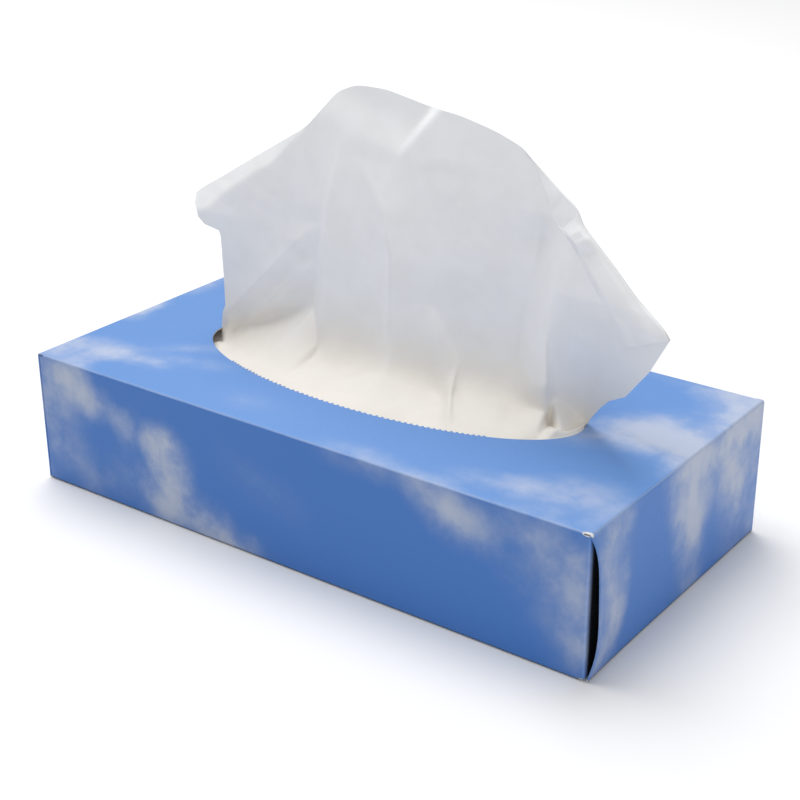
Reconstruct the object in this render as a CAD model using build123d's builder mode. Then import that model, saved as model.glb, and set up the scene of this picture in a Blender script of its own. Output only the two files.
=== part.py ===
from build123d import *
import os
from math import sqrt

# A flat carton of facial tissues with one sheet pulled up through its mouth.
# Millimetres, +Z up. The origin is the middle of the carton's underside, +X runs
# along its length and -Y faces the front panel.

# Folded carton, outside sizes
carton_length = 230.0
carton_width = 115.0
carton_height = 50.0
board = 0.5
fold_radius = 1.0
score_lead = 0.5
glue_line = 0.15
cut_overrun = 2.0

# Glue lap inside the back panel, and the panel's raw lower edge
lap_height = 15.0
lap_foot = 5.0
raw_edge_lift = 0.3

# Flaps that close each end: outer from the top, inner from the bottom, dust from the sides
outer_flap_side_clear = 0.3
outer_flap_foot = 0.4
inner_flap_height = 38.0
inner_flap_side_clear = 9.0
dust_flap_gap = 19.0
dust_flap_clear = 0.9
dust_flap_bevel = 7.0

# Front margin of the right outer flap, which has sprung away from the glue
bow_depth = 3.4
bow_reach = 34.0
bow_set_back = 0.6
bow_bend_share = 0.45
bow_height_shares = (1.0, 0.92, 0.76, 0.5, 0.26, 0.12, 0.0)
bow_depth_shares = (0.0, 0.5, 0.85, 1.0, 0.96, 0.65, 0.15)

# Oval mouth in the top panel
mouth_length = 155.0
mouth_width = 60.0

# Stack of interfolded sheets
stack_headroom = 5.0
stack_end_room = 8.0
stack_side_room = 5.0
stack_edge_radius = 2.0

# Raised sheet: it lies on the stack, climbs to the rim, turns up at a crease and stands, and
# its upper margin is turned over towards the front
sheet_thickness = 0.3
sheet_lift = 0.1
sheet_bend_radius = 3.0
sheet_rise = 100.0
tail_half_length = 98.0
tail_front_room = 5.0
ramp_foot_share = 0.5
rim_room = 1.0
rim_gap = 0.7
crease_rise = 4.0
pleat_depth = 4.0
lean_back = 4.0
hem_depth = 2.4
hem_drop = 18.0

# Lines of the sheet from left to right: place along the mouth's half length, stand back or
# forward at the pleats, height of the upper edge, and length of the turned margin
line_x_shares = (-1.3, -1.11, -0.97, -0.79, -0.62, -0.46, -0.4, -0.3, -0.16, -0.05, 0.0, 0.14,
                 0.27, 0.32, 0.46, 0.6, 0.66, 0.82, 0.87, 0.97, 1.1, 1.25, 1.4)
pleat_shares = (0.0, 0.0, 0.0, -0.4, 0.5, 1.0, -0.8, -0.4, 0.2, 0.8, -0.8, 0.0,
                0.8, -0.8, 0.0, 0.8, -1.2, -1.2, 0.2, 0.0, -0.3, 0.0, 0.4)
top_shares = (0.46, 0.51, 0.575, 0.66, 0.74, 0.815, 0.85, 0.935, 0.99, 1.0, 1.0, 0.98,
              0.965, 0.96, 0.94, 0.92, 0.89, 0.81, 0.78, 0.7, 0.59, 0.48, 0.38)
hem_shares = (0.6, 0.65, 0.65, 0.6, 0.5, 0.3, 0.2, 0.1, 0.1, 0.1, 0.1, 0.1,
              0.1, 0.1, 0.1, 0.1, 0.15, 0.5, 0.6, 0.75, 0.9, 0.9, 0.9)

# Side edges of the standing part, seen from the front, from the neck upwards
left_x_shares = (-0.97, -0.97, -0.985, -1.07, -1.13, -1.11)
left_z_shares = (0.0, 0.21, 0.375, 0.39, 0.45, 0.51)
right_x_shares = (0.97, 1.02, 1.07, 1.12, 1.19, 1.3, 1.38, 1.37)
right_z_shares = (0.0, 0.04, 0.1, 0.13, 0.16, 0.27, 0.37, 0.4)

layer = board + glue_line
half_length = carton_length / 2
half_width = carton_width / 2
dust_flap_x = half_length - layer
inner_flap_x = dust_flap_x - layer
sleeve_half = inner_flap_x - fold_radius - score_lead
top_inside = carton_height - board
flap_side = half_width - outer_flap_side_clear
bow_start = bow_reach - flap_side
mouth_half = mouth_length / 2
stack_length = 2 * (inner_flap_x - board - stack_end_room)
stack_width = 2 * (half_width - layer - board - stack_side_room)
stack_height = top_inside - board - stack_headroom
lie_z = board + stack_height + sheet_lift + sheet_thickness / 2
rim_z = top_inside - rim_gap - sheet_thickness / 2
crease_z = carton_height + crease_rise


def bent_board(plane, corners, inner_side):
    """Section of a bent strip of board whose outer face follows the corners."""
    with BuildSketch(plane) as section:
        with BuildLine():
            FilletPolyline(*corners, radius=fold_radius)
            offset(amount=board, side=inner_side)
        make_face()
    return section.sketch


with BuildPart() as carton:
    # Sleeve of four panels, open at the lower back edge, and the glue lap that closes it
    lap_y = half_width - layer
    lap_start = lap_y - lap_foot
    sleeve_plane = Plane.YZ.offset(-sleeve_half)
    panels = bent_board(
        sleeve_plane,
        [
            (half_width, raw_edge_lift),
            (half_width, carton_height),
            (-half_width, carton_height),
            (-half_width, 0),
            (lap_start, 0),
        ],
        Side.LEFT,
    )
    lap = bent_board(sleeve_plane, [(lap_start, 0), (lap_y, 0), (lap_y, lap_height)], Side.LEFT)
    extrude(panels, amount=2 * sleeve_half)
    extrude(lap, amount=2 * sleeve_half)

    for end, dust_side, inner_side, outer_side in (
        (1, Side.LEFT, Side.LEFT, Side.RIGHT),
        (-1, Side.RIGHT, Side.RIGHT, Side.LEFT),
    ):
        # Dust flaps from the front and back panels, bevelled at their free corners
        for face, turn in ((-1, dust_side), (1, outer_side)):
            dust = bent_board(
                Plane.XY.offset(dust_flap_clear),
                [
                    (end * sleeve_half, face * half_width),
                    (end * dust_flap_x, face * half_width),
                    (end * dust_flap_x, face * dust_flap_gap / 2),
                ],
                turn,
            )
            extrude(dust, amount=carton_height - 2 * dust_flap_clear)

        # Inner flap from the bottom panel
        inner = bent_board(
            Plane.XZ,
            [
                (end * sleeve_half, 0),
                (end * inner_flap_x, 0),
                (end * inner_flap_x, inner_flap_height),
            ],
            inner_side,
        )
        extrude(inner, amount=half_width - inner_flap_side_clear, both=True)

        # Outer flap from the top panel, flat up to where its margin has sprung
        outer = bent_board(
            Plane.XZ.offset(-flap_side),
            [
                (end * sleeve_half, carton_height),
                (end * half_length, carton_height),
                (end * half_length, outer_flap_foot),
            ],
            outer_side,
        )
        flat_until = bow_start if end > 0 else -flap_side
        extrude(outer, amount=flap_side - flat_until)

    # Sprung margin of the right outer flap: it hangs from the fold and bows outwards
    margin_top = carton_height - fold_radius - score_lead
    margin_fold = bent_board(
        Plane.XZ.offset(-bow_start),
        [
            (sleeve_half, carton_height),
            (half_length, carton_height),
            (half_length, margin_top),
        ],
        Side.RIGHT,
    )
    extrude(margin_fold, amount=bow_reach)
    for height_share, depth_share in zip(bow_height_shares, bow_depth_shares):
        level = outer_flap_foot + (margin_top - outer_flap_foot) * height_share
        bend_y = bow_start - bow_reach * bow_bend_share
        edge_y = bow_start - bow_reach + bow_set_back * depth_share
        edge_x = half_length + bow_depth * depth_share
        with BuildSketch(Plane.XY.offset(level)):
            with BuildLine():
                outside = Bezier((half_length, bow_start), (half_length, bend_y), (edge_x, edge_y))
                inside = Bezier(
                    (half_length - board, bow_start),
                    (half_length - board, bend_y),
                    (edge_x - board, edge_y),
                )
                Line(outside @ 0, inside @ 0)
                Line(outside @ 1, inside @ 1)
            make_face()
    loft()

    # Bevelled corners of the dust flaps
    dust_tip = dust_flap_gap / 2 + board
    tips = carton.edges().filter_by(Axis.X).filter_by_position(Axis.Y, -dust_tip, dust_tip)
    chamfer(tips, dust_flap_bevel)

    # Mouth torn out of the top panel
    with BuildSketch(Plane.XY.offset(top_inside - cut_overrun)):
        Ellipse(mouth_half, mouth_width / 2)
    extrude(amount=board + 2 * cut_overrun, mode=Mode.SUBTRACT)


with BuildPart() as tissue_stack:
    with BuildSketch(Plane.XY.offset(board)):
        Rectangle(stack_length, stack_width)
    extrude(amount=stack_height)
    fillet(tissue_stack.edges().filter_by(Axis.X), stack_edge_radius)


def sheet_section(x_share, pleat_share, top_share, hem_share):
    """Section of the raised sheet across the carton, from its tail on the stack to its hem."""
    tail_y = tail_front_room - stack_width / 2
    rim_y = rim_room - mouth_width / 2 * sqrt(max(0, 1 - x_share**2))
    top_z = carton_height + sheet_rise * top_share
    hem_y = lean_back - hem_depth
    with BuildSketch(Plane.YZ.offset(mouth_half * x_share)) as section:
        with BuildLine():
            FilletPolyline(
                (tail_y, lie_z),
                (tail_y + (rim_y - tail_y) * ramp_foot_share, lie_z),
                (rim_y, rim_z),
                (pleat_depth * pleat_share, crease_z),
                (lean_back, top_z),
                (hem_y, top_z),
                (hem_y, top_z - hem_drop * hem_share),
                radius=[0, 0, sheet_bend_radius, 0, 0],
            )
            offset(amount=sheet_thickness / 2, kind=Kind.INTERSECTION)
        make_face()
    return section.sketch


def side_edge(x_shares, z_shares):
    """Side edge of the standing sheet seen from the front, from under the rim to above the peak."""
    places = [(mouth_half * x, carton_height + sheet_rise * z) for x, z in zip(x_shares, z_shares)]
    above = carton_height + sheet_rise + cut_overrun
    return [(places[0][0], lie_z), *places, (places[-1][0], above)]


with BuildPart() as raised_tissue:
    # Pleated sheet with its hem, wider than it ends up
    lines = zip(line_x_shares, pleat_shares, top_shares, hem_shares)
    loft([sheet_section(*line) for line in lines], ruled=True)

    # Cut to its sides: the standing fan with its neck in the mouth, and the tail below the rim
    with BuildSketch(Plane.XZ):
        with BuildLine():
            left = side_edge(left_x_shares, left_z_shares)
            right = side_edge(right_x_shares, right_z_shares)
            Polyline(*left, *reversed(right), close=True)
        make_face()
        with Locations((0, board + stack_height)):
            Rectangle(2 * tail_half_length, rim_z - board - stack_height, align=(Align.CENTER, Align.MIN))
    extrude(amount=carton_width, both=True, mode=Mode.INTERSECT)


os.makedirs("parts", exist_ok=True)
for piece, name in (
    (carton, "carton"),
    (tissue_stack, "tissue_stack"),
    (raised_tissue, "raised_tissue"),
):
    piece.part.label = name
    export_step(piece.part, f"parts/{name}.step")
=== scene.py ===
from math import pi, radians
import bmesh
import bpy
import numpy as np
from mathutils import Matrix, Vector, noise


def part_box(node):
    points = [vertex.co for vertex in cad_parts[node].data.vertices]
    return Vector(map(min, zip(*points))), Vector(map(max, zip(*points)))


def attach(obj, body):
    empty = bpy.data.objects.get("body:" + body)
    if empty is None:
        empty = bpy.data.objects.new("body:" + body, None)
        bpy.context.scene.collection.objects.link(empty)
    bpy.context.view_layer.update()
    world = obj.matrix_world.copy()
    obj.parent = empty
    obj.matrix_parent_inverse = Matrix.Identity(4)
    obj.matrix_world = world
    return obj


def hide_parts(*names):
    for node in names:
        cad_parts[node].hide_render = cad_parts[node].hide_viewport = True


# Looks of a flat carton of facial tissues with one sheet pulled up through its mouth.
# Metres, +Z up. The origin is the middle of the carton's underside, -Y faces the front panel.

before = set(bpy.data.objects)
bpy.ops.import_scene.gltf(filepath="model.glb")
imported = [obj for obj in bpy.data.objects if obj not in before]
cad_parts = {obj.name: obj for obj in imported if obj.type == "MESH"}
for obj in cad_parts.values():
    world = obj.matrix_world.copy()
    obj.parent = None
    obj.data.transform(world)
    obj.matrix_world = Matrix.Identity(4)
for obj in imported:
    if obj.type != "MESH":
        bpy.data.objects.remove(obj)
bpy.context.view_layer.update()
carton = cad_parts["carton"]
carton_low, carton_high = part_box("carton")
stack_low, stack_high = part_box("tissue_stack")
sheet_low, sheet_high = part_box("raised_tissue")
half_length = -carton_low.x
half_width = carton_high.y
height = carton_high.z
rise = sheet_high.z - height

# The mouth's rim is the only part of the top panel away from its edges
panel_middle_share = 0.8
rim_points = [
    v.co
    for v in carton.data.vertices
    if v.co.z > height * panel_middle_share
    and abs(v.co.x) < half_length * panel_middle_share
    and abs(v.co.y) < half_width * panel_middle_share
]
mouth_half_length = max(p.x for p in rim_points)
mouth_half_width = max(p.y for p in rim_points)
board = height - min(p.z for p in rim_points)

# Viewpoint
camera_place = Vector((0.30844, -0.41212, 0.27275))
camera_azimuth = radians(36.354)
camera_elevation = radians(24.265)
camera_roll = radians(-0.255)
camera_lens = 72.48
camera_sensor = 36.0


# Node helpers

noise_roughness = 0.5


def new_material(name, settings):
    """A material, its tree and its principled shader, whose named sockets get the settings."""
    material = bpy.data.materials.new(name)
    material.use_nodes = True
    shader = material.node_tree.nodes["Principled BSDF"]
    for socket, value in settings.items():
        shader.inputs[socket].default_value = value
    return material, material.node_tree, shader


def feed(tree, socket, value):
    """Gives a socket a constant or links another node's output to it."""
    if isinstance(value, bpy.types.NodeSocket):
        tree.links.new(value, socket)
    else:
        socket.default_value = value


def calc(tree, operation, *values):
    """Output of a math node."""
    node = tree.nodes.new("ShaderNodeMath")
    node.operation = operation
    for socket, value in zip(node.inputs, values):
        feed(tree, socket, value)
    return node.outputs[0]


def product(tree, first, *others):
    """Product of several values."""
    for value in others:
        first = calc(tree, "MULTIPLY", first, value)
    return first


def highest(tree, first, *others):
    """Highest of several values."""
    for value in others:
        first = calc(tree, "MAXIMUM", first, value)
    return first


def vector_calc(tree, operation, *values):
    """Output of a vector math node."""
    node = tree.nodes.new("ShaderNodeVectorMath")
    node.operation = operation
    for socket, value in zip(node.inputs, values):
        feed(tree, socket, value)
    return node.outputs[0]


def split_vector(tree, vector):
    """The three parts of a vector."""
    node = tree.nodes.new("ShaderNodeSeparateXYZ")
    tree.links.new(vector, node.inputs[0])
    return node.outputs


def ramp(tree, value, low, high, low_out=0.0, high_out=1.0):
    """Smooth step of a value from low_out at low to high_out at high."""
    node = tree.nodes.new("ShaderNodeMapRange")
    node.interpolation_type = "SMOOTHSTEP"
    for socket, entry in zip(node.inputs, (value, low, high, low_out, high_out)):
        feed(tree, socket, entry)
    return node.outputs[0]


def near(tree, value, line, reach):
    """1 where a coordinate is on a line, easing to 0 at reach from it."""
    away = calc(tree, "ABSOLUTE", calc(tree, "SUBTRACT", value, line))
    return ramp(tree, away, reach, 0.0)


def mix_colour(tree, share, first, second):
    """Colour that goes from first to second as share goes from 0 to 1."""
    node = tree.nodes.new("ShaderNodeMix")
    node.data_type = "RGBA"
    feed(tree, node.inputs["Factor"], share)
    for name, colour in (("A", first), ("B", second)):
        socket = next(s for s in node.inputs if s.name == name and s.type == "RGBA")
        feed(tree, socket, colour)
    return next(s for s in node.outputs if s.type == "RGBA")


def noise_field(tree, place, size, detail, roughness=noise_roughness):
    """Noise texture with features of about that size: (grey value, colour)."""
    node = tree.nodes.new("ShaderNodeTexNoise")
    node.inputs["Scale"].default_value = 1 / size
    node.inputs["Detail"].default_value = detail
    node.inputs["Roughness"].default_value = roughness
    tree.links.new(place, node.inputs["Vector"])
    return node.outputs[0], node.outputs[1]


def bump(tree, shader, value, depth, strength):
    """Bump on a shader from a grey field, depth in metres."""
    node = tree.nodes.new("ShaderNodeBump")
    node.inputs["Strength"].default_value = strength
    node.inputs["Distance"].default_value = depth
    tree.links.new(value, node.inputs["Height"])
    tree.links.new(node.outputs[0], shader.inputs["Normal"])


# Printed board

# Print colours for the top, front and end: one sky print in lighter and darker copies by the way a
# panel faces, partly painted light and shade
sky_top_painted_lit = (0.120, 0.270, 0.605, 1)
sky_front_painted_shade = (0.046, 0.165, 0.49, 1)
sky_end_painted_lit = (0.078, 0.225, 0.62, 1)
cloud_top_painted_lit = (0.45, 0.51, 0.66, 1)
cloud_front_painted_shade = (0.42, 0.47, 0.58, 1)
cloud_end_painted_lit = (0.50, 0.56, 0.70, 1)
# Pale colour along the top folds: partly worn print, partly a painted highlight
worn_highlight_colour = (0.40, 0.48, 0.64, 1)
frayed_colour = (0.80, 0.79, 0.76, 1)
raw_colour = (0.55, 0.50, 0.43, 1)
fibre_colour = (0.38, 0.34, 0.29, 1)
# Near black for painted shade in the end flaps' gaps and a painted shadow line along the foot
painted_shade_colour = (0.004, 0.006, 0.012, 1)

# Drift and curl of the clouds' edges
cloud_warp = 0.022
cloud_warp_size = 0.040
cloud_curl_size = 0.022
cloud_detail = 6
cloud_noise_roughness = 0.6
noise_middle = (0.5, 0.5, 0.5)
curl_shares = (0.28, 0.72, 0.5, 1.5)
cloud_edge_shares = (0.0, 0.95)

# How a panel is told by the way it faces, for its lighter or darker print copy (partly painted light
# and shade), and how deep its clouds reach
facing_shares = (0.3, 0.8)
panel_reach = 0.012

# Pale along the top folds, partly worn print and partly a painted highlight, and frayed corners
fold_wear_highlight_reach = 0.0008
wear_highlight_patch_size = 0.012
wear_highlight_shares = (0.3, 0.6, 0.35, 0.9)
fray_reach = 0.0060
fray_depth = 0.0018
fray_shares = (0.12, 0.24)
fibre_size = 0.0024
patch_detail = 4

# Printed skin, painted shade deep in the gaps between the end flaps, and a painted shadow line where
# the carton meets the floor
skin_share = 0.9
skin_facing_shares = (0.1, 0.3)
corner_depth = 0.0036
gap_shade_depths = (0.0008, 0.0030)
foot_shadow_reach = 0.0012
foot_shadow_share = 0.9

# Surface of the board
board_settings = {"Specular IOR Level": 0.35}
board_grain_size = 0.0006
board_grain_depth = 0.00003
board_bump = 0.35
grain_detail = 3
grain_shares = (0.2, 0.8)
board_roughness = (0.40, 0.56)

# Soft clouds on each panel: place along it and up or across it, reach both ways as shares of its
# half sizes, turn in degrees, and strength
front_cloud_shares = (
    (-0.93, 0.82, 0.20, 0.62, 0, 0.52),
    (-0.76, 0.78, 0.22, 0.22, -27, 0.55),
    (-0.60, 0.62, 0.12, 0.22, -35, 0.30),
    (-0.45, 0.48, 0.14, 0.28, -40, 1.0),
    (-0.56, 0.24, 0.22, 0.34, -12, 0.45),
    (-0.36, 0.12, 0.26, 0.30, -12, 0.62),
    (-0.20, 0.03, 0.18, 0.24, -10, 0.45),
    (-0.86, 0.16, 0.26, 0.36, 0, 0.42),
    (-0.08, 0.54, 0.26, 0.30, -20, 0.20),
    (0.28, 1.00, 0.24, 0.24, -8, 0.36),
    (0.46, 0.92, 0.28, 0.24, -14, 0.24),
    (0.58, 0.80, 0.17, 0.28, -16, 0.52),
    (0.82, 0.84, 0.26, 0.46, -8, 0.36),
    (0.92, 0.58, 0.24, 0.66, 0, 0.28),
    (0.97, 0.18, 0.14, 0.44, 10, 0.16),
)
top_cloud_shares = (
    (-0.86, -0.72, 0.26, 0.24, 14, 0.55),
    (-0.62, -0.62, 0.30, 0.16, 22, 0.45),
    (-0.60, -0.34, 0.24, 0.13, 28, 0.40),
    (-0.20, -0.76, 0.30, 0.20, 6, 0.22),
    (0.66, -0.76, 0.22, 0.15, 4, 0.40),
    (0.86, -0.68, 0.24, 0.26, 12, 0.55),
    (0.72, 0.02, 0.22, 0.26, 14, 0.55),
    (0.92, 0.26, 0.26, 0.46, 20, 0.95),
    (0.94, 0.86, 0.18, 0.34, -10, 0.65),
    (-0.35, 0.85, 0.35, 0.22, 8, 0.45),
    (0.25, 0.80, 0.28, 0.22, -8, 0.35),
)
end_cloud_shares = (
    (-0.84, 0.72, 0.20, 0.80, -8, 0.74),
    (-0.72, 0.44, 0.20, 0.72, -12, 0.74),
    (-0.08, 0.88, 0.24, 0.60, 10, 0.66),
    (0.12, 0.50, 0.30, 0.80, 8, 0.75),
    (0.56, 0.85, 0.38, 0.60, 0, 0.60),
    (0.76, 0.42, 0.36, 0.80, 0, 0.55),
)


def cloud(tree, place, centre, reach, turn, strength):
    """One soft ellipsoid of cloud round a point."""
    mapping = tree.nodes.new("ShaderNodeMapping")
    mapping.vector_type = "TEXTURE"
    mapping.inputs["Location"].default_value = centre
    mapping.inputs["Rotation"].default_value = turn
    mapping.inputs["Scale"].default_value = reach
    tree.links.new(place, mapping.inputs["Vector"])
    gradient = tree.nodes.new("ShaderNodeTexGradient")
    gradient.gradient_type = "SPHERICAL"
    tree.links.new(mapping.outputs[0], gradient.inputs["Vector"])
    return calc(tree, "MULTIPLY", gradient.outputs["Fac"], strength)


def panel_clouds(tree, place):
    """Sum of the clouds of the front and back, top and end panels."""
    total = 0.0
    for face in (-1, 1):
        for along, up, wide, tall, turn, strength in front_cloud_shares:
            centre = (along * half_length, face * half_width, up * height)
            reach = (wide * half_length, panel_reach, tall * height)
            soft = cloud(tree, place, centre, reach, (0, -radians(turn), 0), strength)
            total = calc(tree, "ADD", soft, total)
    for along, across, wide, deep, turn, strength in top_cloud_shares:
        centre = (along * half_length, across * half_width, height)
        reach = (wide * half_length, deep * half_width, panel_reach)
        soft = cloud(tree, place, centre, reach, (0, 0, radians(turn)), strength)
        total = calc(tree, "ADD", soft, total)
    for end in (-1, 1):
        for across, up, wide, tall, turn, strength in end_cloud_shares:
            centre = (end * half_length, across * half_width, up * height)
            reach = (panel_reach, wide * half_width, tall * height)
            soft = cloud(tree, place, centre, reach, (radians(turn), 0, 0), strength)
            total = calc(tree, "ADD", soft, total)
    return total


def sky_print(tree, place, normal):
    """Sky print with soft clouds, whose edges drift and curl, lighter or darker by the way each panel
    faces: partly print, partly painted light and shade.
    """
    _, drift = noise_field(tree, place, cloud_warp_size, cloud_detail, cloud_noise_roughness)
    drift = vector_calc(tree, "SUBTRACT", drift, noise_middle)
    drift = vector_calc(tree, "MULTIPLY", drift, (cloud_warp, cloud_warp, cloud_warp))
    warped = vector_calc(tree, "ADD", place, drift)
    curl, _ = noise_field(tree, place, cloud_curl_size, cloud_detail, cloud_noise_roughness)
    body = calc(tree, "MULTIPLY", panel_clouds(tree, warped), ramp(tree, curl, *curl_shares))
    amount = ramp(tree, body, *cloud_edge_shares)

    face_x, _, face_z = split_vector(tree, normal)
    # Colour picked by the way the surface faces: painted light on the top and ends, painted shade on
    # the front
    upward = ramp(tree, face_z, *facing_shares)
    endward = ramp(tree, calc(tree, "ABSOLUTE", face_x), *facing_shares)
    sky = mix_colour(tree, endward, sky_front_painted_shade, sky_end_painted_lit)
    sky = mix_colour(tree, upward, sky, sky_top_painted_lit)
    vapour = mix_colour(tree, endward, cloud_front_painted_shade, cloud_end_painted_lit)
    vapour = mix_colour(tree, upward, vapour, cloud_top_painted_lit)
    return mix_colour(tree, amount, sky, vapour)


def add_wear_and_highlight(tree, colour, place, fibres):
    """The colour made pale along the top folds, partly wear and partly a painted highlight, and
    frayed at the front corners of the right end.
    """
    x, y, z = split_vector(tree, place)
    front_fold = near(tree, calc(tree, "ABSOLUTE", y), half_width, fold_wear_highlight_reach)
    end_fold = near(tree, calc(tree, "ABSOLUTE", x), half_length, fold_wear_highlight_reach)
    top_fold = near(tree, z, height, fold_wear_highlight_reach)
    patches, _ = noise_field(tree, place, wear_highlight_patch_size, patch_detail)
    # Pale only along the top folds, where light catches: partly wear, partly a painted highlight
    wear_and_highlight = highest(tree, front_fold, end_fold)
    wear_and_highlight = product(tree, wear_and_highlight, top_fold, ramp(tree, patches, *wear_highlight_shares))
    colour = mix_colour(tree, wear_and_highlight, colour, worn_highlight_colour)
    for level in (0.0, height):
        by_end = near(tree, x, half_length, fray_reach)
        by_level = near(tree, z, level, fray_depth)
        by_front = near(tree, y, -half_width, fray_depth)
        frayed = product(tree, by_end, by_level, by_front, fibres)
        colour = mix_colour(tree, ramp(tree, frayed, *fray_shares), colour, frayed_colour)
    return colour


def end_layers(tree, place, normal):
    """1 on what faces outwards in the layers of board at the ends."""
    x, _, _ = split_vector(tree, place)
    face_x, _, _ = split_vector(tree, normal)
    outward = calc(tree, "MULTIPLY", face_x, calc(tree, "SIGN", x))
    within = calc(tree, "GREATER_THAN", calc(tree, "ABSOLUTE", x), half_length - corner_depth)
    return calc(tree, "MULTIPLY", within, ramp(tree, outward, *skin_facing_shares))


def printed_side(tree, place, normal):
    """1 on the outside of the board, 0 on its inside and on the mouth's rim."""
    x, y, z = split_vector(tree, place)
    face_x, face_y, face_z = split_vector(tree, normal)
    length_out = calc(tree, "ABSOLUTE", x)
    outward = calc(tree, "MULTIPLY", face_x, calc(tree, "SIGN", x))
    sideward = calc(tree, "MULTIPLY", face_y, calc(tree, "SIGN", y))
    skin = board * skin_share
    side = calc(tree, "GREATER_THAN", calc(tree, "ABSOLUTE", y), half_width - 2 * board)
    corner = product(tree, side, calc(tree, "GREATER_THAN", length_out, half_length - corner_depth))
    side = product(tree, side, ramp(tree, sideward, *skin_facing_shares))
    above = calc(tree, "GREATER_THAN", z, height - skin)
    above = product(tree, above, ramp(tree, face_z, *skin_facing_shares))
    below = calc(tree, "LESS_THAN", z, skin)
    below = product(tree, below, ramp(tree, face_z, *(-share for share in skin_facing_shares)))
    flap = calc(tree, "GREATER_THAN", length_out, half_length - skin)
    flap = product(tree, flap, calc(tree, "GREATER_THAN", outward, -skin_facing_shares[1]))
    return highest(tree, side, corner, above, below, flap, end_layers(tree, place, normal))


def paint_gap_and_foot_shade(tree, colour, place, normal):
    """The colour with painted shade deep between the end flaps, and a painted shadow line where the
    carton meets the floor.
    """
    x, y, z = split_vector(tree, place)
    depth = calc(tree, "SUBTRACT", half_width, calc(tree, "ABSOLUTE", y))
    behind = calc(tree, "LESS_THAN", calc(tree, "ABSOLUTE", x), half_length - board * skin_share)
    under = calc(tree, "LESS_THAN", z, height - corner_depth / 2)
    deep = ramp(tree, depth, *gap_shade_depths)
    # Painted shade: the board deep between the end flaps goes nearly black
    gap_shade = product(tree, behind, under, end_layers(tree, place, normal), deep)
    colour = mix_colour(tree, gap_shade, colour, painted_shade_colour)
    # Painted contact shadow: a dark line along the foot where the carton meets the floor
    foot = calc(tree, "MULTIPLY", near(tree, z, 0.0, foot_shadow_reach), foot_shadow_share)
    return mix_colour(tree, foot, colour, painted_shade_colour)


def printed_board():
    """Sky print on the outside of the board, raw grey board inside and on its cut edges."""
    material, tree, shader = new_material("printed_board", board_settings)
    place = tree.nodes.new("ShaderNodeTexCoord").outputs["Object"]
    normal = tree.nodes.new("ShaderNodeNewGeometry").outputs["Normal"]
    fibres, _ = noise_field(tree, place, fibre_size, patch_detail)
    colour = add_wear_and_highlight(tree, sky_print(tree, place, normal), place, fibres)
    raw = mix_colour(tree, fibres, raw_colour, fibre_colour)
    colour = mix_colour(tree, printed_side(tree, place, normal), raw, colour)
    colour = paint_gap_and_foot_shade(tree, colour, place, normal)
    tree.links.new(colour, shader.inputs["Base Color"])

    grain, _ = noise_field(tree, place, board_grain_size, grain_detail)
    tree.links.new(ramp(tree, grain, *grain_shares, *board_roughness), shader.inputs["Roughness"])
    bump(tree, shader, grain, board_grain_depth, board_bump)
    return material


# Tissue paper

paper_settings = {
    "Roughness": 0.9,
    "Specular IOR Level": 0.15,
    "Sheen Weight": 0.15,
    "Sheen Roughness": 0.6,
}
paper_cool = (0.85, 0.855, 0.868, 1)
# Warm, slightly darker tint near the mouth: painted warm light
paper_painted_warm_light = (0.845, 0.808, 0.750, 1)
painted_warm_light_reach_share = 0.30
mottle_size = 0.010
mottle_shares = (0.3, 0.7, 0.0, 0.06)
crepe_size = 0.0007
crepe_depth = 0.00005
crepe_bump = 0.5
crepe_stretch = (0.25, 0.25, 1.0)


def tissue_paper():
    """Soft creped paper, with painted warm light tinting it near the mouth."""
    material, tree, shader = new_material("tissue_paper", paper_settings)
    place = tree.nodes.new("ShaderNodeTexCoord").outputs["Object"]
    _, _, z = split_vector(tree, place)
    # Painted warm light, fading out up the sheet
    painted_warmth = ramp(tree, z, height + painted_warm_light_reach_share * rise, height)
    colour = mix_colour(tree, painted_warmth, paper_cool, paper_painted_warm_light)
    mottle, _ = noise_field(tree, place, mottle_size, patch_detail)
    shade = mix_colour(tree, ramp(tree, mottle, *mottle_shares), colour, fibre_colour)
    tree.links.new(shade, shader.inputs["Base Color"])
    stretched = tree.nodes.new("ShaderNodeMapping")
    stretched.inputs["Scale"].default_value = crepe_stretch
    tree.links.new(place, stretched.inputs["Vector"])
    crepe, _ = noise_field(tree, stretched.outputs[0], crepe_size, grain_detail)
    bump(tree, shader, crepe, crepe_depth, crepe_bump)
    return material


# Raised sheet

sheet_thickness = 0.0002
sheet_flat = 0.21
sheet_columns = 200
sheet_rows = {"lap": 8, "turn": 4, "tail": 6, "ramp": 8, "skirt": 28, "stand": 90, "hem": 18}

# Outline of the standing part as the camera sees it on the plane y = 0: place along the mouth's
# half length, and height above the top panel as a share of the sheet's rise
top_line_shares = (
    (-1.118, 0.502), (-1.049, 0.540), (-0.95, 0.583), (-0.785, 0.662), (-0.437, 0.824),
    (-0.294, 0.936), (-0.249, 0.968), (-0.152, 0.998), (0.0, 1.0), (0.235, 0.967),
    (0.385, 0.955), (0.554, 0.925), (0.679, 0.89), (0.774, 0.833), (0.945, 0.735),
    (0.961, 0.693), (1.112, 0.582), (1.227, 0.491), (1.37, 0.402), (1.377, 0.385),
)
left_line_shares = (
    (-1.0, 0.0), (-0.987, 0.07), (-0.968, 0.094), (-0.969, 0.21), (-0.975, 0.36), (-0.985, 0.383),
    (-1.074, 0.394), (-1.114, 0.417), (-1.13, 0.466), (-1.118, 0.502),
)
right_line_shares = (
    (1.026, 0.022), (1.035, 0.047), (1.083, 0.1), (1.123, 0.133), (1.195, 0.161),
    (1.298, 0.267), (1.377, 0.385),
)
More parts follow.
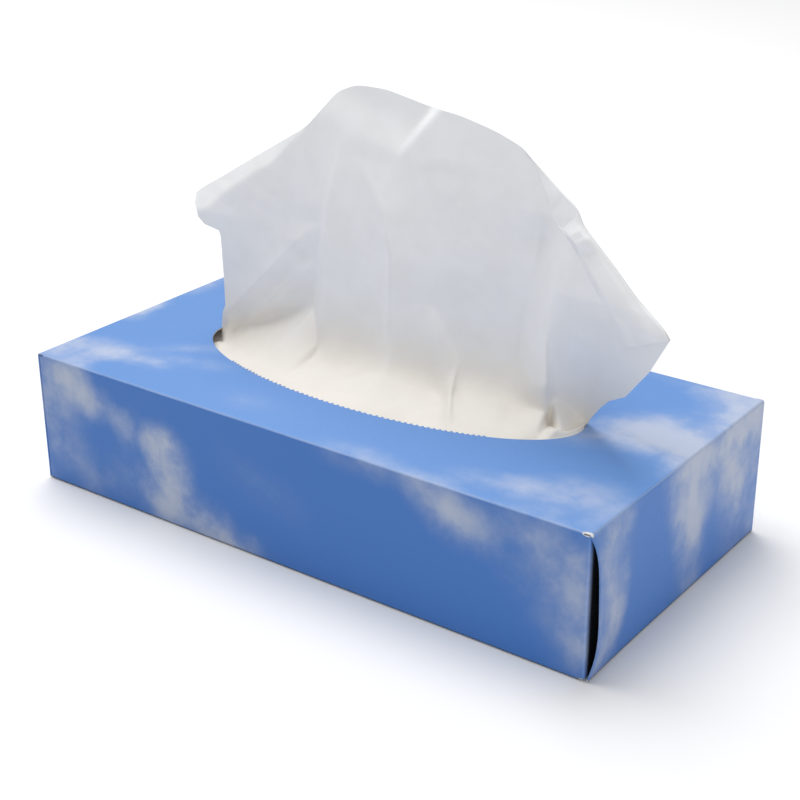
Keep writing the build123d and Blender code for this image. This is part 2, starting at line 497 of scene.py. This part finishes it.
crease_line_shares = (
    (-1.0, 0.0), (-0.83, 0.045), (-0.77, 0.075), (-0.52, 0.15), (-0.42, 0.175), (-0.4, 0.012),
    (-0.2, 0.008), (0.0, 0.035), (0.15, 0.02), (0.30, -0.01), (0.37, 0.035), (0.5, 0.05),
    (0.6, 0.05), (0.66, 0.035), (0.7, 0.03), (0.8, 0.034), (0.828, 0.03), (0.85, -0.008),
    (0.862, -0.012), (0.9, -0.02), (0.946, -0.026), (1.0, 0.0), (1.026, 0.022),
)
corner_rounds = 6

# How the crease is eased over the rows near it, and where along it stays crisp
crease_rounds = 45
crease_rows_below = 8
crease_rows_above = 22
crisp_crease_share = 0.92
crisp_left_shares = (0.33, 0.40)
crisp_right_shares = (0.82, 0.86)

# Recess along the left part of the crease
valley_depth = 0.0025
valley_reach = 0.004
valley_shares = (-1.0, -0.85, -0.52, -0.42)

# The whole standing part stands and leans back a little. Its sides overhang to the front below a
# height, and its right part is turned to the front
stand_back = 0.0030
lean_back = 0.004
overhang_slope = 0.18
overhang_height_share = 0.45
overhang_shares = (0.76, 0.94)
overhang_left_shares = (0.55, 0.85)
overhang_left_share = 0.6
right_turn_share = 0.95
right_turn_slope = 0.20

# The left margin rolls back from this crest line
roll_line_shares = (
    (-1.101, 0.438), (-1.035, 0.47), (-0.956, 0.521), (-0.881, 0.566), (-0.808, 0.597),
    (-0.734, 0.637), (-0.663, 0.668), (-0.612, 0.70), (-0.542, 0.756), (-0.444, 0.82),
)
roll_slope = 0.46
roll_soft = 0.0008

# The right margin is turned over to the front: place along the top line, then where its free edge
# lies. The sheet under it is bent back from that edge
hem_shares = (
    (0.735, 0.733, 0.853), (0.76, 0.751, 0.83), (0.854, 0.806, 0.729), (0.92, 0.84, 0.682),
    (0.96, 0.88, 0.65), (1.01, 0.924, 0.617), (1.065, 0.965, 0.575), (1.14, 1.008, 0.526),
    (1.208, 1.07, 0.455), (1.3, 1.132, 0.377), (1.377, 1.169, 0.319),
)
hem_turn_share = 0.06
hem_stand = 0.0002
hem_slopes = (0.10, 0.14)
hem_fade_share = 0.16
hem_foot_soft = 0.014
hem_rumple = 0.0008
hem_lift_shares = (0.35, 0.85)
hem_edge_share = 0.06
edge_rise = 0.0006

# Facets of the turned margin: place along the top line, and how far each stands forward
facet_depth = 0.0013
facet_shares = (
    (0.76, 0.0), (0.86, 0.0), (0.93, -1.0), (0.98, 1.4), (0.995, 1.1), (1.005, 2.0), (1.05, 0.3),
    (1.2, 0.6), (1.27, 0.3), (1.377, 0.1),
)

# Folds of the standing part from foot to top: place, height and depth shares along each
fold_depth = 0.006
fold_line_shares = {
    "step": ((-0.41, 0.0, 1.1), (-0.37, 0.293, 0.65), (-0.33, 0.561, 0.40), (-0.28, 0.702, 0.25),
             (-0.21, 0.86, 0.0)),
    "beside_step": ((-0.45, 0.1, 0.0), (-0.42, 0.22, -0.5), (-0.395, 0.38, -0.45),
                    (-0.37, 0.5, -0.15), (-0.36, 0.56, 0.0)),
    "middle": ((0.0, 0.0, 0.85), (0.015, 0.446, 0.65), (-0.036, 0.603, 0.45), (-0.132, 0.76, 0.0)),
    "narrow": ((0.35, -0.01, 1.5), (0.30, 0.12, 1.0), (0.24, 0.30, 0.0)),
    "left_upper": ((-0.96, 0.07, 0.45), (-0.503, 0.42, 0.32), (-0.40, 0.5, 0.0)),
    "left_lower": ((-0.84, 0.04, 0.4), (-0.479, 0.32, 0.25), (-0.42, 0.37, 0.0)),
    "beside_flare": ((0.655, 0.0, 0.0), (0.655, 0.12, -0.25), (0.68, 0.28, -0.45),
                     (0.70, 0.4, -0.5), (0.735, 0.5, -0.5), (0.77, 0.6, -0.55), (0.82, 0.7, 0.0)),
    "neck": ((1.03, -0.05, -1.0), (1.03, 0.1, -0.85), (1.05, 0.4, 0.0)),
    "upper_right": ((0.42, 0.2, 0.0), (0.40, 0.5, 0.25), (0.33, 0.8, 0.35), (0.3, 0.95, 0.2)),
}

# How far each fold reaches to its left and to its right, and how blunt it is
fold_forms = {
    "step": (0.0030, 0.036, 1.0),
    "beside_step": (0.018, 0.0022, 1.2),
    "middle": (0.0045, 0.013, 1.0),
    "narrow": (0.0045, 0.0022, 1.0),
    "left_upper": (0.010, 0.0060, 1.3),
    "left_lower": (0.006, 0.0045, 1.3),
    "beside_flare": (0.014, 0.0050, 1.4),
    "neck": (0.009, 0.020, 1.5),
    "upper_right": (0.014, 0.030, 1.5),
}

# Broad fold that flares towards the right end of the mouth: height, left edge, right edge, depth.
# Beyond its right edge it falls away within these lengths, at these heights
flare_shares = (
    (-0.05, 0.66, 0.825, 0.55), (0.04, 0.662, 0.828, 0.8), (0.12, 0.665, 0.832, 1.3),
    (0.28, 0.69, 0.822, 0.8), (0.4, 0.735, 0.835, 0.4), (0.54, 0.79, 0.87, 0.15),
    (0.63, 0.84, 0.9, 0.0),
)
flare_falls = (0.0026, 0.0050)
flare_fall_shares = (0.12, 0.32)

# Apron at the right end of the mouth, below a line from the flare's right edge to the neck
apron_top_share = (0.843, 0.124)
apron_end_share = (1.03, 0.025)
apron_slope = 1.1
apron_valley_slope = 2.6

# Hollow near the peak: its lower point, left and right corners, and its depth
dent_point_share = (0.061, 0.797)
dent_left_share = (-0.231, 0.862)
dent_right_share = (0.261, 0.958)
dent_depth = 0.0048
dent_left_slope = 0.38
dent_right_slope = 2.2
dent_soft = 0.0012

# Irregular paper: long waves, patches of crumple, and the facets of a handled margin. The seeds
# choose slices of the noise
wrinkle_depth = 0.00030
wrinkle_size = 0.016
wrinkle_stretch = 2.0
wrinkle_seed = 0.0
crumple_depth = 0.0005
crumple_size = 0.009
crumple_seed = 5.0
crumple_patch_size = 0.04
crumple_patch_seed = 9.0
rumple_size = 0.012
rumple_seed = 3.0

# Where the sheet passes the rim: its room there, how far along the rim it starts and ends, where it
# follows the crease, and where it closes on the rim at the right end or dips at the left end
rim_room = 0.0016
rim_drop = 0.0011
rim_start_share = 0.035
rim_lead_share = 0.2
rim_follow_shares = (0.6, 0.85)
neck_room = 0.0004
neck_close_shares = (0.88, 0.94)
neck_past_share = 0.035
neck_past_shares = (0.93, 1.0)
dip_depth = 0.0022
dip_shares = (0.10, 0.28)

# Skirt from the rim up to the crease, hollow in its left part
skirt_bulge = 0.0016
skirt_hollow = 0.0040
skirt_hollow_shares = (0.25, 0.42)
skirt_wrinkle_share = 0.5
skirt_wrinkle_offset = 0.3

# Part inside the carton
lap_gap = 0.0003
lap_back_share = 0.28
tail_half_length = -sheet_low.x
tail_y = sheet_low.y
ramp_foot_share = 0.5


def seen(shares):
    """Points on the plane y = 0, from shares of the mouth's half length and the sheet's rise."""
    return np.array([(a * mouth_half_length, height + b * rise) for a, b in shares])


def points_along(points, shares):
    """Points at shares of the length of a line through the given points."""
    steps = np.linalg.norm(np.diff(points, axis=0), axis=1)
    length = np.concatenate([[0], np.cumsum(steps)])
    wanted = np.asarray(shares) * length[-1]
    return np.stack([np.interp(wanted, length, values) for values in points.T], axis=-1)


def rounded(points):
    """A line with its corners eased, its ends kept."""
    for _ in range(corner_rounds):
        points[1:-1] = (points[:-2] + 2 * points[1:-1] + points[2:]) / 4
    return points


def smooth(low, high, value):
    """Smooth step from 0 at low to 1 at high."""
    t = np.clip((value - low) / (high - low), 0, 1)
    return t * t * (3 - 2 * t)


def rounded_above(value, reach):
    """The value where it is above 0 and 0 elsewhere, with the turn between them rounded."""
    return (value + np.sqrt(value**2 + reach**2)) / 2


def below_line(x, z, first, second):
    """How far below a line, seen on the plane y = 0, points are."""
    run = (second - first) / np.linalg.norm(second - first)
    return (x - first[0]) * run[1] - (z - first[1]) * run[0]


def narrow_folds(x, z):
    """How far the narrow folds bring the sheet forward."""
    forward = np.zeros_like(x)
    for name, line in fold_line_shares.items():
        left, right, bluntness = fold_forms[name]
        places = seen([entry[:2] for entry in line])
        depth = np.array([entry[2] for entry in line])
        middle = np.interp(z, places[:, 1], places[:, 0])
        size = np.interp(z, places[:, 1], depth)
        away = x - middle
        reach = np.where(away < 0, left, right)
        forward += fold_depth * size * np.exp(-np.abs(away / reach) ** bluntness)
    return forward


def flare_field(x, z):
    """How far the broad fold on the right brings the sheet forward."""
    level, left, right, depth = np.array(flare_shares).T
    level = height + level * rise
    left_edge = np.interp(z, level, left * mouth_half_length)
    right_edge = np.interp(z, level, right * mouth_half_length)
    climb = np.clip((x - left_edge) / (right_edge - left_edge), 0, 1)
    reach = np.interp(z, height + rise * np.array(flare_fall_shares), flare_falls)
    fall = np.exp(-np.maximum(0, x - right_edge) / reach)
    return fold_depth * np.interp(z, level, depth) * climb * fall


def apron_field(x, z):
    """How far the apron at the right end of the mouth brings the sheet forward."""
    first, second = seen([apron_top_share, apron_end_share])
    from_line = apron_slope * below_line(x, z, first, second)
    from_valley = apron_valley_slope * (x - first[0])
    return np.maximum(0, np.minimum(from_line, from_valley))


def fold_field(x, z):
    """How far all the folds bring the sheet forward at points seen on the plane y = 0."""
    return narrow_folds(x, z) + np.maximum(flare_field(x, z), apron_field(x, z))


def dent_field(x, z):
    """How far the hollow near the peak pushes the sheet back."""
    point, left, right = seen([dent_point_share, dent_left_share, dent_right_share])
    from_left = -dent_left_slope * below_line(x, z, left, point)
    from_right = -dent_right_slope * below_line(x, z, point, right)
    pushed = rounded_above(np.minimum(from_left, from_right), dent_soft)
    return dent_depth - rounded_above(dent_depth - pushed, dent_soft)


def noise_at(x, z, size, seed, stretch=1.0):
    """Noise at a point of the sheet, with features of about that size, stretched upwards."""
    return noise.noise(Vector((x / size, z / size / stretch, seed)))


def wrinkle(x, z):
    """Small irregular waves in the paper."""
    out = np.empty(x.shape)
    for index in np.ndindex(*x.shape):
        place = (x[index], z[index])
        wave = noise_at(*place, wrinkle_size, wrinkle_seed, wrinkle_stretch)
        crease = 1 - 2 * abs(noise_at(*place, crumple_size, crumple_seed))
        patch = max(0.0, noise_at(*place, crumple_patch_size, crumple_patch_seed))
        out[index] = wrinkle_depth * wave + crumple_depth * crease * patch
    return out


def rumple(x, z):
    """Sharper facets, 0 to 1, for a margin that has been handled."""
    out = np.empty(x.shape)
    for index in np.ndindex(*x.shape):
        out[index] = abs(noise_at(x[index], z[index], rumple_size, rumple_seed))
    return out


def margin_field(x, z):
    """How far back the left and right margins are bent."""
    line = seen(roll_line_shares)
    above = np.maximum(z - np.interp(x, *line.T, right=np.inf), -rise)
    rolled = roll_slope * rounded_above(above, roll_soft)
    inner = seen([entry[1:] for entry in hem_shares])[::-1]
    beyond = np.maximum(0, x - np.interp(z, *inner[:, ::-1].T))
    foot, end = inner[0], seen([right_line_shares[-1]])[0]
    over = smooth(0, hem_foot_soft, -below_line(x, z, foot, end))
    slope = np.interp(z, (foot[1], foot[1] + hem_fade_share * rise), hem_slopes)
    return rolled + slope * beyond * over


def standing_depth(x, z):
    """How far back from the plane y = 0 the standing sheet is at points seen on that plane."""
    lean = stand_back + lean_back * (z - height) / rise
    place = x / mouth_half_length
    right_side = smooth(*overhang_shares, place)
    left_side = overhang_left_share * smooth(*overhang_left_shares, -place)
    overhang = overhang_slope * np.minimum(z - height, overhang_height_share * rise)
    overhang = overhang * (right_side + left_side)
    right_turn = right_turn_slope * np.maximum(0, x - right_turn_share * mouth_half_length)
    bent = margin_field(x, z) - fold_field(x, z) + dent_field(x, z) + wrinkle(x, z)
    return lean - right_turn - overhang + bent


def along_sight(x, z, back):
    """Point on the camera's line of sight through (x, 0, z), as far back from that plane as given."""
    reach = back / -camera_place.y
    return np.stack(
        [x + (x - camera_place.x) * reach, back, z + (z - camera_place.z) * reach],
        axis=-1,
    )


def standing_rows(u, crease, top):
    """Rows of the standing part: a patch between the crease, the top line and the two sides."""
    v = np.linspace(0, 1, sheet_rows["stand"] + 1)
    left = points_along(seen(left_line_shares), v)[:, None]
    right = points_along(seen(right_line_shares), v)[:, None]
    u = u[None, :, None]
    v = v[:, None, None]
    low_corners = (1 - u) * crease[0] + u * crease[-1]
    high_corners = (1 - u) * top[0] + u * top[-1]
    corners = (1 - v) * low_corners + v * high_corners
    flat = (1 - v) * crease + v * top + (1 - u) * left + u * right - corners
    x, z = flat[..., 0], flat[..., 1]
    place = x / mouth_half_length
    valley = smooth(*valley_shares[:2], place) * (1 - smooth(*valley_shares[2:], place))
    valley = valley_depth * valley * (1 - smooth(0, valley_reach, z - crease[:, 1]))
    return along_sight(x, z, standing_depth(x, z) + valley)


def edge_rows(top):
    """Rows of the upper edge: free on the left, turned over to the front on the right."""
    table = np.array(hem_shares)
    place = top[:, 0] / mouth_half_length
    turned = smooth(table[0, 0] - hem_turn_share, table[0, 0], place)
    line = seen(table[:, 1:])
    free = np.stack([np.interp(place, table[:, 0], values) for values in line.T], axis=-1)
    free = turned[:, None] * free + (1 - turned)[:, None] * (top + (0, edge_rise))
    w = np.linspace(0, 1, sheet_rows["hem"] + 1)[1:, None]
    flat = (1 - w[..., None]) * top + w[..., None] * free
    x, z = flat[..., 0], flat[..., 1]
    facet = facet_depth * np.interp(place, *np.array(facet_shares).T) + hem_rumple * rumple(x, z)
    lifted = smooth(0, hem_lift_shares[0], w)
    lifted = lifted * (1 - (1 - hem_edge_share) * smooth(hem_lift_shares[1], 1, w))
    forward = turned * (facet * lifted + hem_stand)
    return along_sight(x, z, standing_depth(x, z) - forward)


def rim_row(u, crease):
    """Row of points where the sheet passes the mouth's rim."""
    even = pi * (rim_start_share + (1 - rim_start_share) * u)
    place = np.clip(crease[:, 0] / mouth_half_length, -1, 1)
    follow = np.arccos(-place - rim_lead_share * (1 - place**2))
    angle = even + smooth(*rim_follow_shares, u) * (follow - even)
    angle = angle + pi * neck_past_share * smooth(*neck_past_shares, u)
    close = smooth(*neck_close_shares, u)
    room = rim_room + (neck_room - rim_room) * close
    drop = (board + rim_drop) * (1 - close) + dip_depth * (1 - smooth(*dip_shares, u))
    x = -(mouth_half_length - room) * np.cos(angle)
    y = -(mouth_half_width - room) * np.sin(angle)
    return np.stack([x, y, height - drop], axis=-1)


def rows_between(first, last, count):
    """Rows that lead from one row of points to another, the last one left out."""
    share = np.linspace(0, 1, count + 1)[:-1, None, None]
    return (1 - share) * first + share * last


def skirt_rows(u, rim, crease_row):
    """Rows from the rim up to the crease."""
    skirt = rows_between(rim, crease_row, sheet_rows["skirt"])
    share = np.linspace(0, 1, sheet_rows["skirt"] + 1)[:-1, None]
    bulge = skirt_bulge - skirt_hollow * (1 - smooth(*skirt_hollow_shares, u))
    waves = wrinkle(skirt[..., 0], skirt[..., 1] + skirt_wrinkle_offset)
    skirt[..., 2] += bulge * np.sin(pi * share) + skirt_wrinkle_share * waves
    return skirt


def level_row(x, y, z):
    """Row of points at one depth and one height."""
    return np.stack([x, np.full_like(x, y), np.full_like(x, z)], axis=-1)


def hidden_rows(u, rim):
    """Rows inside the carton: a lap folded under, the tail on the stack and the climb to the rim."""
    x = tail_half_length * (2 * u - 1)
    fold_y = tail_y + 2 * lap_gap
    low = stack_high.z + lap_gap
    high = low + lap_gap + sheet_thickness
    lap_edge = level_row(x, fold_y + lap_back_share * sheet_flat, low)
    lap = rows_between(lap_edge, level_row(x, fold_y, low), sheet_rows["lap"])
    radius = (high - low) / 2
    turn = []
    for angle in np.linspace(-pi / 2, -3 * pi / 2, sheet_rows["turn"] + 1)[:-1]:
        y = fold_y + radius * np.cos(angle)
        turn.append(level_row(x, y, low + radius + radius * np.sin(angle)))
    tail_edge = level_row(x, tail_y, high)
    foot = tail_edge + (rim - tail_edge) * ramp_foot_share
    foot[:, 2] = high
    tail = rows_between(level_row(x, fold_y, high), foot, sheet_rows["tail"])
    climb = rows_between(foot, rim, sheet_rows["ramp"])
    return np.concatenate([lap, turn, tail, climb])


def ease_crease(rows, crease_at, u):
    """Rounds the crease over the rows near it, least where it stays crisp."""
    index = np.arange(len(rows))[:, None, None]
    reach = np.where(index < crease_at, crease_rows_below, crease_rows_above)
    soft = 1 - smooth(0, reach, abs(index - crease_at))
    crisp = 1 - smooth(*crisp_left_shares, u) + smooth(*crisp_right_shares, u)
    soft = soft * (1 - crisp_crease_share * crisp)[None, :, None]
    for _ in range(crease_rounds):
        eased = (rows[:-2] + rows[2:]) / 2
        rows[1:-1] += soft[1:-1] * (eased - rows[1:-1])


def raised_sheet():
    """Grid of points of the raised sheet, row by row from its free edge on the stack to its hem."""
    u = np.linspace(0, 1, sheet_columns + 1)
    crease = points_along(seen(crease_line_shares), u)
    top = rounded(points_along(seen(top_line_shares), u))
    standing = standing_rows(u, crease, top)
    rim = rim_row(u, crease)
    skirt = skirt_rows(u, rim, standing[0])
    upper = np.concatenate([skirt, standing, edge_rows(top)])
    ease_crease(upper, len(skirt), u)
    return np.concatenate([hidden_rows(u, rim), upper])


def crisp_edges(mesh):
    """Keeps the free edges of a sheet out of its smooth shading."""
    shape = bmesh.new()
    shape.from_mesh(mesh)
    for edge in shape.edges:
        edge.smooth = not edge.is_boundary
    shape.to_mesh(mesh)
    shape.free()


def grid_mesh(grid):
    """Points and faces of a grid."""
    rows, columns = grid.shape[:2]
    index = np.arange(rows * columns).reshape(rows, columns)
    faces = np.stack([index[:-1, :-1], index[:-1, 1:], index[1:, 1:], index[1:, :-1]], axis=-1)
    return grid.reshape(-1, 3).tolist(), faces.reshape(-1, 4).tolist()


# Torn perforation along the front of the mouth

tooth_pitch = 0.0020
tooth_half_width = 0.00052
tooth_reach = 0.0008
tooth_root = 0.0004
tooth_lift = 0.00001
teeth_left_share = -0.68
teeth_right_share = 0.70
tooth_outline_shares = (
    (-1.0, 0.0), (-0.95, 0.5), (-0.55, 0.95), (0.0, 1.0), (0.5, 0.9), (0.9, 0.45), (1.0, 0.0),
)
tooth_vary_share = 0.35
tooth_seed = 0.5


def mouth_teeth():
    """Small nubs of board left where the mouth was torn along its perforation."""
    verts = []
    faces = []
    left = np.arccos(teeth_left_share)
    right = np.arccos(teeth_right_share)
    count = round((teeth_right_share - teeth_left_share) * mouth_half_length / tooth_pitch)
    for k, angle in enumerate(np.linspace(left, right, count)):
        along_rim = np.array([mouth_half_length * np.sin(angle), mouth_half_width * np.cos(angle)])
        along_rim /= np.linalg.norm(along_rim)
        inward = np.array([-along_rim[1], along_rim[0]])
        root = np.array([mouth_half_length * np.cos(angle), -mouth_half_width * np.sin(angle)])
        root = root - inward * tooth_root
        vary = 1 + tooth_vary_share * noise.noise(Vector((k, tooth_seed, 0.0)))
        tip = inward * (tooth_root + tooth_reach * vary)
        plan = []
        for across, reach in tooth_outline_shares:
            plan.append(root + along_rim * across * tooth_half_width + tip * reach)
        first = len(verts)
        size = len(plan)
        for level in (height - board + tooth_lift, height - tooth_lift):
            verts += [(p[0], p[1], level) for p in plan]
        faces.append([first + i for i in reversed(range(size))])
        faces.append([first + size + i for i in range(size)])
        for i in range(size):
            j = (i + 1) % size
            faces.append((first + i, first + j, first + size + j, first + size + i))
    return verts, faces


# Stack of interfolded sheets

layer_count = 38
layer_gap = 0.00012
layer_arc_steps = 4
layer_top_steps = 8
stack_sections = 24

# How far the layers are out of line and sag. The seeds choose slices of the noise
layer_shift = 0.0006
layer_seed = 0.3
layer_seed_step = 0.7
layer_shift_seeds = (0.0, 4.0)
layer_wave = 0.0004
layer_wave_size = 0.05
layer_wave_step = 0.05


def layer_outline(half_deep, half_thick):
    """Section of one folded layer across the stack, with a round front and back edge."""
    straight = half_deep - half_thick
    outline = []
    for side in (-1, 1):
        for angle in np.linspace(-pi / 2, pi / 2, layer_arc_steps + 1):
            y = straight + half_thick * np.cos(angle)
            outline.append((side * y, side * half_thick * np.sin(angle)))
        for share in np.linspace(0, 1, layer_top_steps + 1)[1:-1]:
            outline.append((side * straight * (1 - 2 * share), side * half_thick))
    return outline


def folded_layers():
    """Layers of folded paper, each a little out of line, and wavier towards the top."""
    verts = []
    faces = []
    thickness = (stack_high.z - stack_low.z) / layer_count
    outline = layer_outline(stack_high.y - layer_shift, (thickness - layer_gap) / 2)
    size = len(outline)
    ends = (stack_low.x + layer_shift, stack_high.x - layer_shift)
    for k in range(layer_count):
        middle = stack_low.z + (2 * k + 1) * thickness / 2
        shift_x, shift_y = (
            layer_shift * noise.noise(Vector((k * layer_seed_step, layer_seed, seed)))
            for seed in layer_shift_seeds
        )
        first = len(verts)
        for x in np.linspace(*ends, stack_sections + 1):
            for y, z in outline:
                spot = Vector((x / layer_wave_size, y / layer_wave_size, k * layer_wave_step))
                sag = layer_wave * (1 + noise.noise(spot)) / 2 * k / layer_count
                verts.append((x + shift_x, y + shift_y, middle + z - sag))
        for section in range(stack_sections):
            row = first + section * size
            for i in range(size):
                j = (i + 1) % size
                faces.append((row + i, row + j, row + size + j, row + size + i))
        faces.append([first + i for i in reversed(range(size))])
        faces.append([first + stack_sections * size + i for i in range(size)])
    return verts, faces


def mesh_piece(name, verts, faces, material, slot):
    """Mesh object that rides on the carton's body."""
    mesh = bpy.data.meshes.new(name)
    mesh.from_pydata(verts, [], faces)
    mesh.materials.append(material)
    piece = bpy.data.objects.new(name, mesh)
    bpy.context.scene.collection.objects.link(piece)
    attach(piece, "root")
    return piece


# Camera and stage

floor_half = 6.0
floor_corner_shares = ((-1, -1), (1, -1), (1, 1), (-1, 1))
floor_settings = {
    "Base Color": (0.90, 0.90, 0.905, 1),
    "Roughness": 0.8,
    "Specular IOR Level": 0.1,
}
world_colour = (1, 1, 1, 1)
world_strength = 0.37

# Soft square lights: place, aim, size and power
lights = {
    "key": ((-0.6, 0.25, 1.6), (0, 0, 0.05), 1.5, 29.5),
    "fill": ((0.9, -1.2, 0.9), (0, 0, 0.06), 1.2, 6.2),
}


def make_camera():
    """Camera at the viewpoint."""
    data = bpy.data.cameras.new("view")
    data.lens = camera_lens
    data.sensor_width = camera_sensor
    turn = (
        Matrix.Rotation(camera_azimuth, 4, "Z")
        @ Matrix.Rotation(pi / 2 - camera_elevation, 4, "X")
        @ Matrix.Rotation(camera_roll, 4, "Z")
    )
    camera = bpy.data.objects.new("view", data)
    camera.matrix_world = Matrix.Translation(camera_place) @ turn
    bpy.context.scene.collection.objects.link(camera)
    bpy.context.scene.camera = camera


def area_light(name, place, aim, size, power):
    """Square light at a place, turned to its aim."""
    data = bpy.data.lights.new(name, "AREA")
    data.size = size
    data.energy = power
    light = bpy.data.objects.new(name, data)
    light.location = place
    light.rotation_euler = (Vector(aim) - Vector(place)).to_track_quat("-Z", "Y").to_euler()
    bpy.context.scene.collection.objects.link(light)


def make_stage():
    """Pale floor, even surroundings and soft lights."""
    mesh = bpy.data.meshes.new("floor")
    corners = [(x * floor_half, y * floor_half, 0) for x, y in floor_corner_shares]
    mesh.from_pydata(corners, [], [range(len(corners))])
    material, _, _ = new_material("floor", floor_settings)
    mesh.materials.append(material)
    floor = bpy.data.objects.new("floor", mesh)
    bpy.context.scene.collection.objects.link(floor)
    world = bpy.data.worlds.new("studio")
    world.use_nodes = True
    background = world.node_tree.nodes["Background"]
    background.inputs["Color"].default_value = world_colour
    background.inputs["Strength"].default_value = world_strength
    bpy.context.scene.world = world
    for name, values in lights.items():
        area_light(name, *values)
    bpy.context.scene.view_settings.view_transform = "Standard"


make_camera()
make_stage()
carton.data.materials.clear()
print_material = printed_board()
carton.data.materials.append(print_material)
mesh_piece("mouth_teeth", *mouth_teeth(), print_material, "printed_board")

paper = tissue_paper()
sheet = mesh_piece("raised_sheet", *grid_mesh(raised_sheet()), paper, "tissue")
sheet.data.shade_smooth()
crisp_edges(sheet.data)
thicken = sheet.modifiers.new("thickness", "SOLIDIFY")
thicken.thickness = sheet_thickness
thicken.offset = 0
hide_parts("raised_tissue")

layers = mesh_piece("folded_sheets", *folded_layers(), paper, "tissue")
layers.data.shade_smooth()
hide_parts("tissue_stack")
